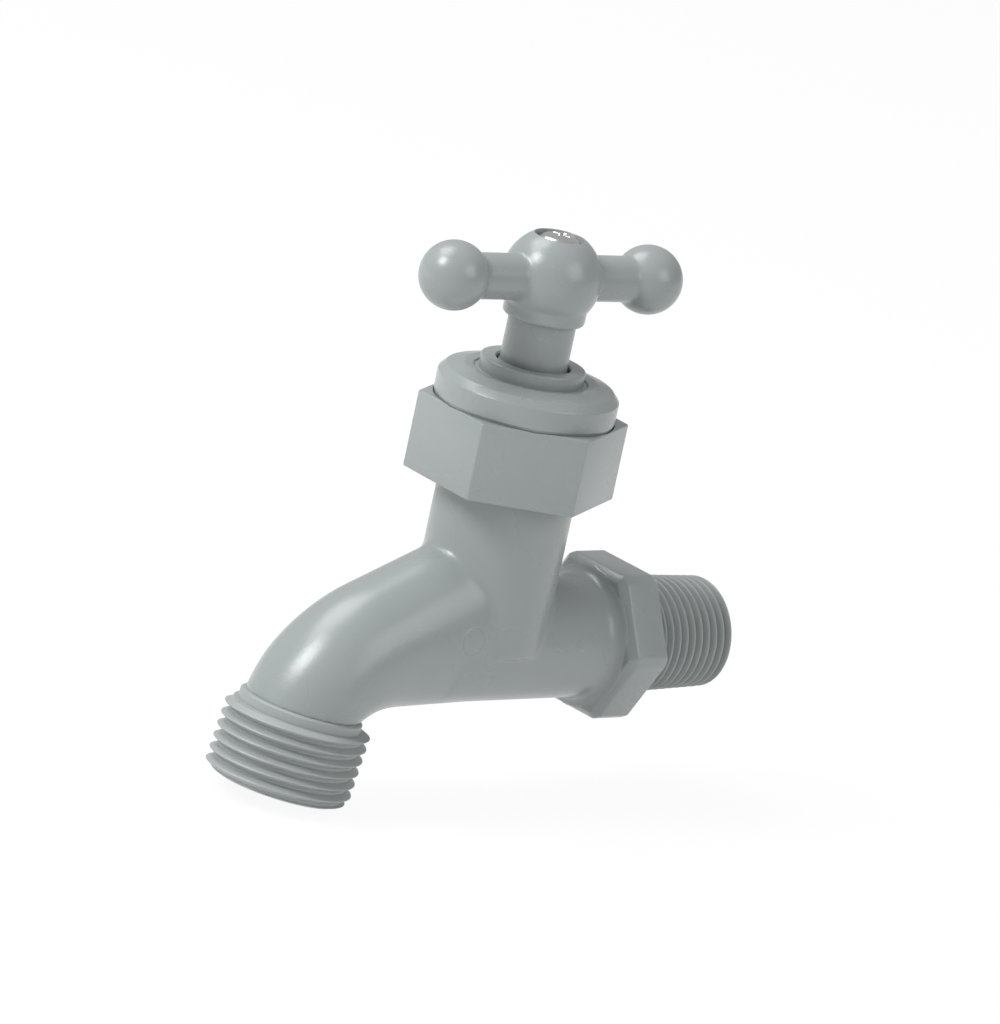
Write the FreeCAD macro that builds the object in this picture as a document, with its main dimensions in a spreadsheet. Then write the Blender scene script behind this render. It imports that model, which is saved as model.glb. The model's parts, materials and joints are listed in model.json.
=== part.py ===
import FreeCAD, Part
import Sketcher
import math
import os

# Hose bibb in moulded plastic. Heights are measured from the axis of the inlet pipe, and the
# stem axis is the local origin of every piece; the placements then put the rear face of the
# inlet hexagon at the origin, with +Y along the inlet thread and +Z up the stem.

os.makedirs("parts", exist_ok=True)
doc = FreeCAD.newDocument("hose_bibb")
sheet = doc.addObject("Spreadsheet::Sheet", "sizes")

SIZES = [
    # the inlet: hexagon and tapered pipe thread
    ("stem_to_inlet", 34.8), ("inlet_hex_flats", 27.7), ("inlet_hex_facet_width", 2.0),
    ("inlet_hex_thickness", 9.7), ("inlet_hex_flare", 2.3),
    ("pipe_thread_length", 19.5), ("pipe_thread_r", 10.83), ("pipe_thread_depth", 1.35),
    ("pipe_thread_pitch", 1.814), ("pipe_taper_angle", 1.79), ("inlet_bore_r", 6.35),
    ("barrel_way_r", 6.0),
    # the barrel, the neck and the wall between the two waterways
    ("barrel_r", 11.28), ("neck_r", 12.6), ("neck_foot_level", 0.3), ("neck_top_level", 41.0),
    ("neck_bore_r", 10.3), ("seat_level", 9.5), ("seat_lip_height", 1.2),
    ("seat_bore_r", 5.0), ("seat_lip_width", 1.5), ("inlet_chamber_reach", 5.2),
    ("water_wall", 2.0), ("seat_wall", 2.4), ("spout_way_rise", 3.1),
    # the spout: heel and crown of its outline, and the hose thread at its end
    ("outlet_reach", 37.48), ("outlet_drop", 11.62), ("outlet_tilt", 8.6),
    ("spout_end_r", 10.66), ("spout_arc_r", 37.1), ("spout_arc_reach", 13.2),
    ("spout_arc_drop", 23.0), ("spout_crown_slope", 24.0), ("spout_side_r", 11.5),
    ("spout_heel_sag", 0.45),
    ("hose_thread_r", 13.45), ("hose_thread_depth", 1.3), ("hose_thread_pitch", 2.209),
    ("hose_thread_start", 1.6), ("hose_thread_turns", 5.55), ("hose_thread_phase", -94.5),
    ("hose_nose_length", 15.3), ("hose_nose_chamfer", 0.7), ("hose_bore_r", 8.5),
    # the bonnet
    ("nut_flats", 33.6), ("nut_corner_r", 0.4), ("nut_angle", 57.8), ("nut_bottom_level", 29.8),
    ("nut_height", 14.4), ("nut_edge_r", 0.35), ("dome_r", 16.6),
    ("dome_wall_height", 3.7), ("dome_rim_inset", 1.1), ("dome_rim_height", 5.3),
    ("dome_crest_r", 12.2), ("dome_crest_height", 6.45), ("dome_foot_height", 5.7),
    ("dome_shoulder_r", 1.6), ("dome_groove_width", 0.3), ("dome_groove_depth", 0.8),
    ("collar_r", 9.6), ("collar_rise", 8.5), ("collar_edge_r", 0.5),
    ("collar_opening_r", 6.8), ("collar_opening_depth", 2.2),
    ("sleeve_r", 9.9), ("sleeve_bottom_level", 22.0), ("seal_bore_bottom_level", 36.5),
    ("gasket_thickness", 1.5), ("gasket_bore_r", 10.6),
    # the coarse threads: neck with bonnet, stem with bonnet
    ("neck_thread_root_r", 13.1), ("neck_thread_bottom_level", 31.0),
    ("coarse_pitch", 2.5), ("coarse_depth", 1.0), ("coarse_root_width", 1.6),
    ("coarse_crest_width", 0.95), ("coarse_side_play", 0.17), ("coarse_radial_play", 0.22),
    # the stem
    ("stem_thread_root_r", 6.9), ("stem_thread_bottom_level", 19.0),
    ("stem_thread_length", 12.0), ("stem_seal_r", 6.5), ("stem_top_r", 6.2),
    ("stem_taper_start_level", 51.7), ("stem_taper_length", 0.8),
    ("stem_shoulder_level", 60.8), ("stem_foot_r", 6.4),
    ("drive_flats", 7.1), ("drive_length", 9.6), ("seal_play", 0.1),
    ("oring_groove_root_r", 5.0), ("oring_groove_width", 2.2), ("oring_section_r", 0.75),
    ("oring_play", 0.05), ("oring_low_level", 39.0), ("oring_gap", 3.5),
    # the swivelling washer holder, its rubber washer and brass screw
    ("holder_r", 8.4), ("holder_plate", 2.7), ("holder_rim_depth", 2.1),
    ("holder_stem_gap", 0.2), ("spigot_r", 2.5), ("spigot_length", 5.2), ("bead_r", 2.9),
    ("bead_length", 1.0), ("spigot_play", 0.2), ("seat_washer_r", 7.2),
    ("seat_washer_thickness", 3.6), ("seat_washer_hole_r", 2.2), ("seat_washer_play", 0.2),
    ("washer_screw_head_r", 3.6), ("washer_screw_head_height", 1.5),
    ("washer_screw_r", 1.5), ("washer_screw_length", 9.5), ("screw_slot_width", 0.9),
    ("screw_slot_depth", 0.8), ("screw_play", 0.05),
    # the handle, its screw and lock washer
    ("handle_level", 68.6), ("handle_angle", 86.3), ("hub_r", 9.05), ("hub_skirt_r", 7.5),
    ("hub_skirt_drop", 7.6), ("hub_recess_r", 4.6), ("hub_recess_level", 73.7), ("arm_r", 4.2),
    ("ball_r", 6.35), ("ball_reach", 21.9), ("drive_play", 0.1), ("hub_lip_r", 0.6),
    ("lock_washer_r", 4.1), ("lock_washer_thickness", 0.9),
    ("handle_screw_head_r", 3.9), ("handle_screw_head_height", 2.1),
    ("handle_screw_r", 2.0), ("handle_screw_length", 12.5),
    ("cross_width", 0.95), ("cross_length", 4.4), ("cross_depth", 1.4),
]

for row, (name, value) in enumerate(SIZES, start=1):
    sheet.set("A%d" % row, name)
    sheet.set("B%d" % row, str(value))
    sheet.setAlias("B%d" % row, name)
doc.recompute()


def mm(expression):
    """Value of an expression whose words are the names in the sheet."""
    return float(sheet.evalExpression(with_sheet(expression)))


def with_sheet(expression):
    """The expression with the sheet's name put before each of its size names."""
    words = []
    word = ""
    for letter in expression + " ":
        if letter.isalnum() or letter == "_":
            word += letter
            continue
        words.append("sizes." + word if word in NAMES else word)
        words.append(letter)
        word = ""
    return "".join(words).strip()


NAMES = {name for name, value in SIZES}


def bind(feature, **bindings):
    """Bind properties of a feature to sheet expressions; two underscores stand for a dot."""
    for path, expression in bindings.items():
        feature.setExpression(path.replace("__", "."), with_sheet(expression))
    return feature


def add(kind, name, **bindings):
    """Add a primitive or a boolean of the Part workbench with its sizes bound."""
    return bind(doc.addObject(kind, name), **bindings)


def turn(feature, axis, angle):
    """Turn a feature about one of its own axes; the angle may be an expression."""
    feature.Placement = FreeCAD.Placement(FreeCAD.Vector(), FreeCAD.Rotation(axis, 1))
    return bind(feature, Placement__Rotation__Angle=str(angle))


X_AXIS = FreeCAD.Vector(1, 0, 0)
Y_AXIS = FreeCAD.Vector(0, 1, 0)
Z_AXIS = FreeCAD.Vector(0, 0, 1)


def outline(sketch, corners):
    """Draw a closed outline; each corner is a pair of expressions, (radius, height)."""
    points = [FreeCAD.Vector(mm(across), mm(up), 0) for across, up in corners]
    for start, end in zip(points, points[1:] + points[:1]):
        sketch.addGeometry(Part.LineSegment(start, end), False)
    count = len(corners)
    for index in range(count):
        sketch.addConstraint(Sketcher.Constraint("Coincident", index, 2, (index + 1) % count, 1))
    for index, (across, up) in enumerate(corners):
        for direction, axis, size in (("DistanceX", -2, across), ("DistanceY", -1, up)):
            if mm(size) == 0:
                sketch.addConstraint(Sketcher.Constraint("PointOnObject", index, 1, axis))
                continue
            number = sketch.addConstraint(
                Sketcher.Constraint(direction, -1, 1, index, 1, mm(size)))
            sketch.setExpression("Constraints[%d]" % number, with_sheet(size))
    return sketch


def new_sketch(body, role):
    """A sketch on one of the body's own origin planes."""
    sketch = body.newObject("Sketcher::SketchObject", body.Name + "_outline")
    plane = [item for item in body.Origin.OriginFeatures if item.Role == role][0]
    sketch.AttachmentSupport = [(plane, "")]
    sketch.MapMode = "FlatFace"
    return sketch


def turned(name, corners):
    """A turned body: the outline swung once round the stem axis."""
    body = doc.addObject("PartDesign::Body", name)
    sketch = outline(new_sketch(body, "XZ_Plane"), corners)
    swing = body.newObject("PartDesign::Revolution", name + "_turn")
    swing.Profile = sketch
    swing.ReferenceAxis = (sketch, ["V_Axis"])
    swing.Angle = 360
    sketch.Visibility = False
    doc.recompute()
    return body


def cylinder(name, radius, start, end):
    """An upright cylinder on the stem axis between two levels."""
    return add("Part::Cylinder", name, Radius=radius, Height="(%s) - (%s)" % (end, start),
               Placement__Base__z=start)


def along_inlet(name, radius, start, end):
    """A cylinder on the inlet axis between two distances behind the stem axis."""
    pipe = turn(doc.addObject("Part::Cylinder", name), X_AXIS, -90)
    return bind(pipe, Radius=radius, Height="(%s) - (%s)" % (end, start),
                Placement__Base__y=start)


def joined(name, members, pieces=1):
    """Union of the members, checked for the number of separate pieces it should leave."""
    union = doc.addObject("Part::MultiFuse", name)
    union.Shapes = members
    doc.recompute()
    largest = max(member.Shape.Volume for member in members)
    if len(union.Shape.Solids) != pieces or union.Shape.Volume < largest:
        raise ValueError("%s is not a union in %d pieces" % (name, pieces))
    return union


def cut(name, base, tool):
    difference = doc.addObject("Part::Cut", name)
    difference.Base = base
    difference.Tool = tool
    doc.recompute()
    return difference


def common(name, members):
    shared = doc.addObject("Part::MultiCommon", name)
    shared.Shapes = members
    doc.recompute()
    return shared


def rounded(name, base, radius, chosen):
    """Round the edges of a feature for which chosen(edge) is true."""
    numbers = [n for n, edge in enumerate(base.Shape.Edges, start=1) if chosen(edge)]
    fillet = doc.addObject("Part::Fillet", name)
    fillet.Base = base
    fillet.Edges = [(number, mm(radius), mm(radius)) for number in numbers]
    doc.recompute()
    return fillet


def ridge(name, pitch, height, form, radius, taper="0"):
    """A helical ridge on +Z: the form's corners are (radius, height) expressions."""
    helix = add("Part::Helix", name + "_line", Pitch=pitch, Height=height, Radius=radius,
                Angle=taper)
    section = doc.addObject("Sketcher::SketchObject", name + "_form")
    section.Placement = FreeCAD.Placement(FreeCAD.Vector(), FreeCAD.Rotation(X_AXIS, 90))
    outline(section, form)
    doc.recompute()
    sweep = doc.addObject("Part::Sweep", name)
    sweep.Sections = [section]
    sweep.Spine = (helix, ["Edge%d" % (n + 1) for n in range(len(helix.Shape.Edges))])
    sweep.Solid = True
    sweep.Frenet = True
    doc.recompute()
    return sweep


def trapezoid(root, crest, root_width, crest_width, outward="1"):
    """Corners of a thread form whose flanks run on 0.3 mm into the wall behind its root."""
    spread = "0.3 * ((%s) - (%s)) / (%s * ((%s) - (%s)))" % (
        root_width, crest_width, outward, crest, root)
    wide = "((%s) + %s) / 2" % (root_width, spread)
    narrow = "(%s) / 2" % crest_width
    foot = "%s - %s * 0.3" % (root, outward)
    return [(foot, "-" + wide), (crest, "-" + narrow), (crest, narrow), (foot, wide)]


# The valve body is one moulding: pipe thread, hexagon, barrel, neck, spout and hose thread,
# with the two waterways and the seat between them inside.

inlet_end = "stem_to_inlet + pipe_thread_length"
hex_front = "stem_to_inlet - inlet_hex_thickness"

barrel = along_inlet("barrel", "barrel_r", "0", hex_front + " + 1")

hex_prism = turn(doc.addObject("Part::Prism", "hex_prism"), X_AXIS, -90)
facets = doc.addObject("Part::Prism", "hex_facets")
facets.Placement.Rotation = (FreeCAD.Rotation(X_AXIS, -90)
                             * FreeCAD.Rotation(Z_AXIS, 30))
for prism in (hex_prism, facets):
    prism.Polygon = 6
    bind(prism, Height="inlet_hex_thickness", Placement__Base__y=hex_front)
bind(hex_prism, Circumradius="inlet_hex_flats / sqrt(3)")
bind(facets, Circumradius="(inlet_hex_flats / sqrt(3) - inlet_hex_facet_width / 2 / sqrt(3))"
                          " * 2 / sqrt(3)")
inlet_hex = common("inlet_hex", [hex_prism, facets])

pipe_core = doc.addObject("Part::Cone", "pipe_core")
pipe_core.Placement.Rotation = (FreeCAD.Rotation(X_AXIS, -90)
                                * FreeCAD.Rotation(Z_AXIS, 200))
core_length = "(pipe_thread_length + 1 + 2 * pipe_thread_pitch)"
bind(pipe_core, Radius1="pipe_thread_r - pipe_thread_depth", Height=core_length,
     Radius2="pipe_thread_r - pipe_thread_depth - " + core_length + " * tan(pipe_taper_angle)",
     Placement__Base__y="stem_to_inlet - 1")
pipe_small_r = ("pipe_thread_r - (pipe_thread_length + pipe_thread_pitch)"
                " * tan(pipe_taper_angle)")
pipe_ridge = ridge("pipe_ridge", "pipe_thread_pitch",
                   "pipe_thread_length + 1.5 * pipe_thread_pitch",
                   trapezoid(pipe_small_r + " - pipe_thread_depth", pipe_small_r,
                             "pipe_thread_pitch * 0.86", "pipe_thread_pitch * 0.2"),
                   pipe_small_r, "pipe_taper_angle")
turn(pipe_ridge, X_AXIS, 90)
bind(pipe_ridge, Placement__Base__y=inlet_end + " + pipe_thread_pitch")
pipe_reach = along_inlet("pipe_reach", "pipe_thread_r + 2", "stem_to_inlet - 1.5", inlet_end)
pipe_thread = common("pipe_thread", [joined("pipe_blank", [pipe_core, pipe_ridge]), pipe_reach])

neck = cylinder("neck", "neck_r", "neck_foot_level", "neck_thread_bottom_level")
neck_core = cylinder("neck_core", "neck_thread_root_r", "nut_bottom_level + 0.6",
                     "neck_top_level")


def coarse_ridge(name, root, height):
    """Coarse moulded thread standing out from a stem or neck."""
    form = trapezoid(root, root + " + coarse_depth", "coarse_root_width", "coarse_crest_width")
    return ridge(name, "coarse_pitch", height, form, root)


def coarse_inner_ridge(name, root, height):
    """The mating thread standing in from a wall, with play to the outer one all round."""
    crest = root + " + coarse_radial_play"
    gap = ("coarse_pitch - 2 * coarse_side_play + coarse_radial_play"
           " * (coarse_root_width - coarse_crest_width) / coarse_depth")
    form = trapezoid(crest + " + coarse_depth", crest, gap + " - coarse_crest_width",
                     gap + " - coarse_root_width", "-1")
    return ridge(name, "coarse_pitch", height, form, root)


neck_ridge = coarse_ridge("neck_ridge", "neck_thread_root_r",
                          "neck_top_level - neck_thread_bottom_level - 1.5 * coarse_pitch")
bind(neck_ridge, Placement__Base__z="neck_thread_bottom_level + coarse_pitch / 2")


def spout_stations():
    """Heel and crown points of the spout's outline in the mirror plane, outlet first.

    The crown swings round the arc's centre from the outlet to the slope, its radius easing to
    the arc's, and then runs straight up towards the stem axis; the heel bends from the outlet
    to the straight underside of the barrel. The points stand at fixed shares of these runs.
    """
    tilt = math.radians(mm("outlet_tilt"))
    along = FreeCAD.Vector(0, math.sin(tilt), math.cos(tilt))
    across = FreeCAD.Vector(0, -math.cos(tilt), math.sin(tilt))
    outlet = FreeCAD.Vector(0, -mm("outlet_reach"), -mm("outlet_drop"))
    end_r = mm("spout_end_r")
    crown, heel = outlet + across * end_r, outlet - across * end_r
    second = (crown + along * end_r * 0.244, heel + along * end_r * 0.0844)

    centre = FreeCAD.Vector(0, -mm("spout_arc_reach"), -mm("spout_arc_drop"))
    start_r = (crown - centre).Length
    start_angle = math.atan2(centre.y - crown.y, crown.z - centre.z)
    slope = math.radians(mm("spout_crown_slope"))

    def arc_point(share):
        angle = start_angle + (slope - start_angle) * share
        spoke = FreeCAD.Vector(0, -math.sin(angle), math.cos(angle))
        return centre + spoke * (start_r + (mm("spout_arc_r") - start_r) * share)

    crowns = [arc_point(share) for share in (0.342, 0.561, 0.8025)]
    slope_run = FreeCAD.Vector(0, 1, math.tan(slope)) * -arc_point(1).y
    crowns += [arc_point(1) + slope_run * share for share in (0.113, 0.355, 0.549)]

    underside = -mm("barrel_r")
    bend = underside - second[1].z
    sag = mm("spout_heel_sag")
    heels = [FreeCAD.Vector(0, heel.y * (1 - forward), underside - bend * bent - sag * sunk)
             for forward, bent, sunk in (
                 (0.0594, 0.6226, 0), (0.1336, 0.0958, 0), (0.2376, 0, 0.25),
                 (0.349, 0, 0.5), (0.4974, 0, 1), (0.6459, 0, 1))]
    return [(crown, heel), second] + list(zip(crowns, heels))


def spout_ring(name, crown, heel, wall, side_r):
    """An ellipse across the spout, its long axis from heel to crown, drawn in by the wall."""
    ring = doc.addObject("Part::Ellipse", name)
    ring.MajorRadius = (crown - heel).Length / 2 - wall
    ring.MinorRadius = min(side_r - wall, float(ring.MajorRadius) - 0.001)
    up = (crown - heel).normalize()
    ring.Placement = FreeCAD.Placement((crown + heel) / 2,
                                       FreeCAD.Rotation(up, X_AXIS, up.cross(X_AXIS), "XYZ"))
    return ring


def round_end(name, end_reach, radius):
    """A circle across the inlet axis that a loft can end on, level with the barrel."""
    ring = doc.addObject("Part::Circle", name + "_end")
    ring.Radius = radius
    ring.Placement = FreeCAD.Placement(FreeCAD.Vector(0, end_reach, 0),
                                       FreeCAD.Rotation(Z_AXIS, X_AXIS, Y_AXIS, "XYZ"))
    return ring


def spout_loft(name, wall, station_count, end_reach, end_rise):
    """Loft through the stations to a last ring across the barrel."""
    stations = spout_stations()[:station_count]
    side_radii = [mm("spout_end_r"), mm("spout_end_r * 0.67 + spout_side_r * 0.33")]
    side_radii += [mm("spout_side_r")] * (station_count - 2) + [mm("barrel_r")]
    stations.append((FreeCAD.Vector(0, end_reach, end_rise),
                     FreeCAD.Vector(0, end_reach, -mm("barrel_r"))))
    rings = []
    for number, (crown, heel) in enumerate(stations):
        rings.append(spout_ring("%s_ring_%d" % (name, number), crown, heel, wall,
                                side_radii[number]))
    if end_rise == mm("barrel_r"):
        rings[-1] = round_end(name, end_reach, end_rise - wall)
    loft = doc.addObject("Part::Loft", name)
    loft.Sections = rings
    loft.Solid = True
    doc.recompute()
    return loft


def on_outlet(feature):
    """Stand a feature on the outlet axis, its own +Z pointing out of the spout."""
    turn(feature, X_AXIS, "180 - outlet_tilt")
    return bind(feature, Placement__Base__y="-outlet_reach", Placement__Base__z="-outlet_drop")


spout = spout_loft("spout", 0, 8, 0.0, mm("barrel_r"))
nose_r = "hose_thread_r - hose_thread_depth"
spout_core = cylinder("spout_core", nose_r, "0", "hose_nose_length")
hose_ridge = ridge("hose_ridge", "hose_thread_pitch", "hose_thread_turns * hose_thread_pitch",
                   trapezoid(nose_r, "hose_thread_r", "hose_thread_pitch * 0.82",
                             "hose_thread_pitch * 0.24"), nose_r)
turn(hose_ridge, Z_AXIS, "hose_thread_phase")
bind(hose_ridge, Placement__Base__z="hose_thread_start")
hose_end = on_outlet(joined("hose_end", [spout_core, hose_ridge]))

flare = rounded("flare", joined("barrel_and_hex", [barrel, inlet_hex]),
                "min(inlet_hex_flare; 0.9 * (inlet_hex_flats / 2 - barrel_r))",
                lambda edge: edge.Curve.TypeId == "Part::GeomCircle"
                and abs(edge.CenterOfMass.y - mm(hex_front)) < 0.01
                and abs(edge.Curve.Radius - mm("barrel_r")) < 0.01)
body_blank = joined("body_blank", [flare, spout, neck, neck_core, neck_ridge, pipe_thread,
                                   hose_end])

heel_reach = "(outlet_reach - spout_end_r) * 0.55"
heel_block = add("Part::Box", "heel_block", Length="2 * barrel_r", Width=heel_reach,
                 Height="1.5 * barrel_r", Placement__Base__x="-barrel_r",
                 Placement__Base__y="-" + heel_reach, Placement__Base__z="-1.5 * barrel_r")
heel_floor = cut("heel_floor", heel_block,
                 along_inlet("heel_way", "barrel_r - 1.25 * water_wall",
                             "-%s - 1" % heel_reach, "1"))
spout_bend_way = spout_loft("spout_bend_way", mm("water_wall"), 7,
                            mm("-inlet_chamber_reach - seat_wall"),
                            mm("seat_level + spout_way_rise + water_wall"))

waterways = joined("waterways", [
    cut("spout_way", spout_bend_way, heel_floor),
    on_outlet(cylinder("outlet_bore", "hose_bore_r", "-0.4", "hose_nose_length + 1")),
    on_outlet(turned("nose_bevel", [
        (nose_r + " - hose_nose_chamfer", "hose_nose_length"),
        (nose_r + " + hose_nose_chamfer", "hose_nose_length - 2 * hose_nose_chamfer"),
        (nose_r + " + hose_nose_chamfer", "hose_nose_length + 1"), ("0", "hose_nose_length + 1"),
        ("0", "hose_nose_length")])),
    along_inlet("inlet_bore", "inlet_bore_r", hex_front, inlet_end + " + 1"),
    along_inlet("barrel_way", "barrel_way_r", "-inlet_chamber_reach", hex_front + " + 1"),
    cylinder("seat_bore", "seat_bore_r", "0", "seat_level + 1"),
    cylinder("neck_bore", "neck_bore_r", "seat_level", "neck_top_level + 1"),
    turned("seat_moat", [("seat_bore_r + seat_lip_width", "seat_level - seat_lip_height"),
                         ("neck_bore_r", "seat_level - seat_lip_height"),
                         ("neck_bore_r", "seat_level + 1"),
                         ("seat_bore_r + seat_lip_width", "seat_level + 1")]),
])
valve_body = cut("valve_body", body_blank, waterways)

# The bonnet is one moulding too: hexagon skirt, dome and collar, with a threaded sleeve for
# the stem hanging down inside the neck.

nut_top = "nut_bottom_level + nut_height"
collar_top = nut_top + " + collar_rise"
roof = "neck_top_level + gasket_thickness"
stem_thread_top = "stem_thread_bottom_level + stem_thread_length"
stem_crest = "stem_thread_root_r + coarse_depth"

nut_prism = turn(doc.addObject("Part::Prism", "nut_prism"), Z_AXIS, "nut_angle")
nut_prism.Polygon = 6
bind(nut_prism, Circumradius="nut_flats / sqrt(3)", Height="nut_height",
     Placement__Base__z="nut_bottom_level")
doc.recompute()
nut_corners = rounded("nut_corners", nut_prism, "nut_corner_r",
                      lambda edge: abs(edge.Length - mm("nut_height")) < 0.01)
nut_edges = rounded("nut_edges", nut_corners, "nut_edge_r",
                    lambda edge: edge.BoundBox.ZLength < 0.01)

dome = turned("dome", [
    ("0", "nut_bottom_level + 2"), ("dome_r", "nut_bottom_level + 2"),
    ("dome_r", nut_top + " + dome_wall_height"),
    ("dome_r - dome_rim_inset", nut_top + " + dome_rim_height"),
    ("dome_crest_r", nut_top + " + dome_crest_height"),
    ("collar_r + 0.5", nut_top + " + dome_foot_height + 0.3"),
    ("collar_r", nut_top + " + dome_foot_height"), ("collar_r", collar_top),
    ("0", collar_top)])


def ring_edge(radius, level):
    """Test for the circular edge of that radius at that level."""
    def matches(edge):
        return (not edge.Degenerated and edge.Curve.TypeId == "Part::GeomCircle"
                and abs(edge.Curve.Radius - mm(radius)) < 0.01
                and abs(edge.Curve.Center.z - mm(level)) < 0.01)
    return matches


dome_rim = rounded("dome_rim", dome, "dome_shoulder_r",
                   ring_edge("dome_crest_r", nut_top + " + dome_crest_height"))
dome_shoulder = rounded("dome_shoulder", dome_rim, "dome_shoulder_r",
                        ring_edge("dome_r", nut_top + " + dome_wall_height"))
dome_edges = rounded("dome_edges", dome_shoulder, "collar_edge_r",
                     ring_edge("collar_r", collar_top))
sleeve = cylinder("sleeve", "sleeve_r", "sleeve_bottom_level", roof + " + 1")
bonnet_blank = joined("bonnet_blank", [nut_edges, dome_edges, sleeve])

wall_of_skirt = "neck_thread_root_r + coarse_depth + coarse_radial_play"
wall_of_sleeve = "stem_thread_root_r + coarse_depth + coarse_radial_play"
bonnet_voids = joined("bonnet_voids", [
    turned("skirt_way", [("sleeve_r", "nut_bottom_level - 1"),
                         (wall_of_skirt, "nut_bottom_level - 1"), (wall_of_skirt, roof),
                         ("sleeve_r", roof)]),
    turned("stem_way", [
        ("0", "sleeve_bottom_level - 1"), (wall_of_sleeve, "sleeve_bottom_level - 1"),
        (wall_of_sleeve, "seal_bore_bottom_level"),
        ("stem_seal_r + seal_play", "seal_bore_bottom_level"),
        ("stem_seal_r + seal_play", collar_top + " - collar_opening_depth"),
        ("collar_opening_r", collar_top + " - collar_opening_depth"),
        ("collar_opening_r", collar_top + " + 1"), ("0", collar_top + " + 1")]),
    turned("dome_groove", [("dome_r - dome_groove_width / 2", nut_top + " - dome_groove_depth"),
                           ("dome_r + dome_groove_width / 4", nut_top),
                           ("dome_r + dome_groove_width / 4", nut_top + " + 0.01"),
                           ("dome_r", nut_top + " + 0.6")]),
], 3)
skirt_ridge = coarse_inner_ridge("skirt_ridge", "neck_thread_root_r", "3.5 * coarse_pitch")
bind(skirt_ridge, Placement__Base__z="neck_thread_bottom_level")
sleeve_ridge = coarse_inner_ridge("sleeve_ridge", "stem_thread_root_r", "2.5 * coarse_pitch")
bind(sleeve_ridge, Placement__Base__z="stem_thread_bottom_level + 1 + 1.5 * coarse_pitch")
bonnet = joined("bonnet", [cut("bonnet_hollow", bonnet_blank, bonnet_voids), skirt_ridge,
                           sleeve_ridge])

bonnet_gasket = turned("bonnet_gasket", [
    ("gasket_bore_r", "neck_top_level"), ("neck_thread_root_r - 0.1", "neck_top_level"),
    ("neck_thread_root_r - 0.1", roof), ("gasket_bore_r", roof)])

# The stem: a foot that turns on the washer holder, the lead thread, two O-ring grooves and a
# square drive for the handle.

stem_foot = "seat_level + seat_washer_thickness + holder_plate + holder_stem_gap"
holder_top = "seat_level + seat_washer_thickness + holder_plate"
bead_low = holder_top + " + spigot_length - 2 * bead_length"
socket_r = "spigot_r + spigot_play"
bead_socket_r = "bead_r + spigot_play"
drive_top = "stem_shoulder_level + drive_length"


def groove_corners(level):
    """Corners of one O-ring groove, lower edge first."""
    low = "%s - oring_groove_width / 2" % level
    high = "%s + oring_groove_width / 2" % level
    return [("stem_seal_r", low), ("oring_groove_root_r", low),
            ("oring_groove_root_r", high), ("stem_seal_r", high)]


oring_levels = ["oring_low_level", "oring_low_level + oring_gap"]
stem_turned = turned("stem_turned", [
    ("0", holder_top + " + spigot_length + 0.4"),
    (bead_socket_r, holder_top + " + spigot_length + 0.4"),
    (bead_socket_r, bead_low + " - 0.3"),
    (socket_r, bead_low + " - 0.3"), (socket_r, stem_foot), ("stem_foot_r", stem_foot),
    ("stem_foot_r", "stem_thread_bottom_level"),
    ("stem_thread_root_r", "stem_thread_bottom_level"),
    ("stem_thread_root_r", stem_thread_top), ("stem_seal_r", stem_thread_top),
    *groove_corners(oring_levels[0]), *groove_corners(oring_levels[1]),
    ("stem_seal_r", "stem_taper_start_level"),
    ("stem_top_r", "stem_taper_start_level + stem_taper_length"),
    ("stem_top_r", "stem_shoulder_level"),
    ("0", "stem_shoulder_level")])
stem_ridge = coarse_ridge("stem_ridge", "stem_thread_root_r", "stem_thread_length - 2")
bind(stem_ridge, Placement__Base__z="stem_thread_bottom_level + 1")


def square(name, flats, low, high):
    """A square prism on the stem axis, turned with the handle."""
    prism = turn(doc.addObject("Part::Prism", name), Z_AXIS, "handle_angle + 45")
    prism.Polygon = 4
    return bind(prism, Circumradius="(%s) / sqrt(2)" % flats,
                Height="(%s) - (%s)" % (high, low), Placement__Base__z=low)


drive = square("drive", "drive_flats", "stem_shoulder_level - 1", drive_top)
handle_screw_seat = "hub_recess_level + lock_washer_thickness"
pilot = cylinder("pilot", "handle_screw_r + screw_play",
                 handle_screw_seat + " - handle_screw_length - 0.6", drive_top + " + 1")
stem = cut("stem", joined("stem_blank", [stem_turned, stem_ridge, drive]), pilot)

orings = []
for name, level in zip(("oring_lower", "oring_upper"), oring_levels):
    orings.append(add("Part::Torus", name, Radius2="oring_section_r", Placement__Base__z=level,
                      Radius1="oring_groove_root_r + oring_play + oring_section_r"))

# The washer holder swivels on the stem's foot and carries the rubber washer, which a slotted
# brass screw keeps in its cup.

washer_top = "seat_level + seat_washer_thickness"
cup_r = "seat_washer_r + seat_washer_play"
washer_holder = turned("washer_holder", [
    ("washer_screw_r + screw_play", washer_top), (cup_r, washer_top),
    (cup_r, washer_top + " - holder_rim_depth"), ("holder_r", washer_top + " - holder_rim_depth"),
    ("holder_r", holder_top), ("spigot_r", holder_top), ("spigot_r", bead_low),
    ("bead_r", bead_low), ("bead_r", bead_low + " + bead_length"),
    ("spigot_r", holder_top + " + spigot_length"),
    ("0", holder_top + " + spigot_length"), ("0", "seat_level + washer_screw_length + 0.4"),
    ("washer_screw_r + screw_play", "seat_level + washer_screw_length + 0.4")])
seat_washer = turned("seat_washer", [
    ("seat_washer_hole_r", "seat_level"), ("seat_washer_r", "seat_level"),
    ("seat_washer_r", washer_top), ("seat_washer_hole_r", washer_top)])
head_low = "seat_level - washer_screw_head_height"
washer_screw_turned = turned("washer_screw_turned", [
    ("0", head_low), ("washer_screw_head_r - 0.6", head_low),
    ("washer_screw_head_r", head_low + " + 0.6"), ("washer_screw_head_r", "seat_level"),
    ("washer_screw_r", "seat_level"), ("washer_screw_r", "seat_level + washer_screw_length - 1"),
    ("0", "seat_level + washer_screw_length")])


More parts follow.
